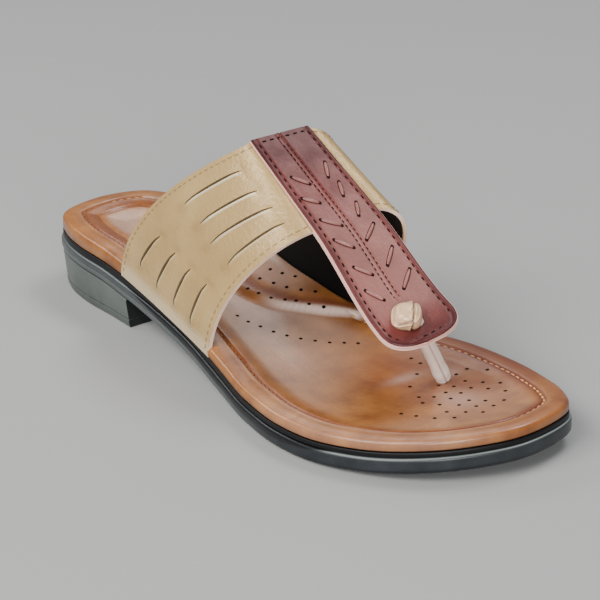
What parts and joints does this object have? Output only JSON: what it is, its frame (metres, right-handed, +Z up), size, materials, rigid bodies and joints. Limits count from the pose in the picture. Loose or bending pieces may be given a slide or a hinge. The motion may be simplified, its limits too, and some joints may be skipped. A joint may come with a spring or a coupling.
{
  "type": "sandal",
  "caption": "Flat thong sandal for the right foot: slit beige leather instep band, maroon toe strap held by a knotted post, moulded tan footbed and low heel.",
  "frame": {"origin": "on the floor, under the middle of the whole shoe's box", "axes": "+X towards the toe, +Y towards the inner (medial) side of the foot, +Z up"},
  "size_m": [0.255, 0.0944, 0.0874],
  "materials": {
    "black_rubber": "satin dark grey rubber",
    "black_strip": "black painted strip, satin",
    "tan_leather": "burnished orange-brown leather, glossy",
    "beige_leather": "pebbled beige leather with a metallic sheen",
    "maroon_leather": "burnished purple-maroon leather, satin",
    "pink_leather": "pinkish-beige leather, matt"
  },
  "bodies": {
    "root": {"outsole": "black_rubber", "midsole": "black_strip", "heel_block": "black_rubber", "top_lift": "black_rubber", "insole": "tan_leather", "upper": "beige_leather", "strap_overlay": "maroon_leather", "toe_post": "pink_leather", "knot": "beige_leather"}
  },
  "joints": []
}
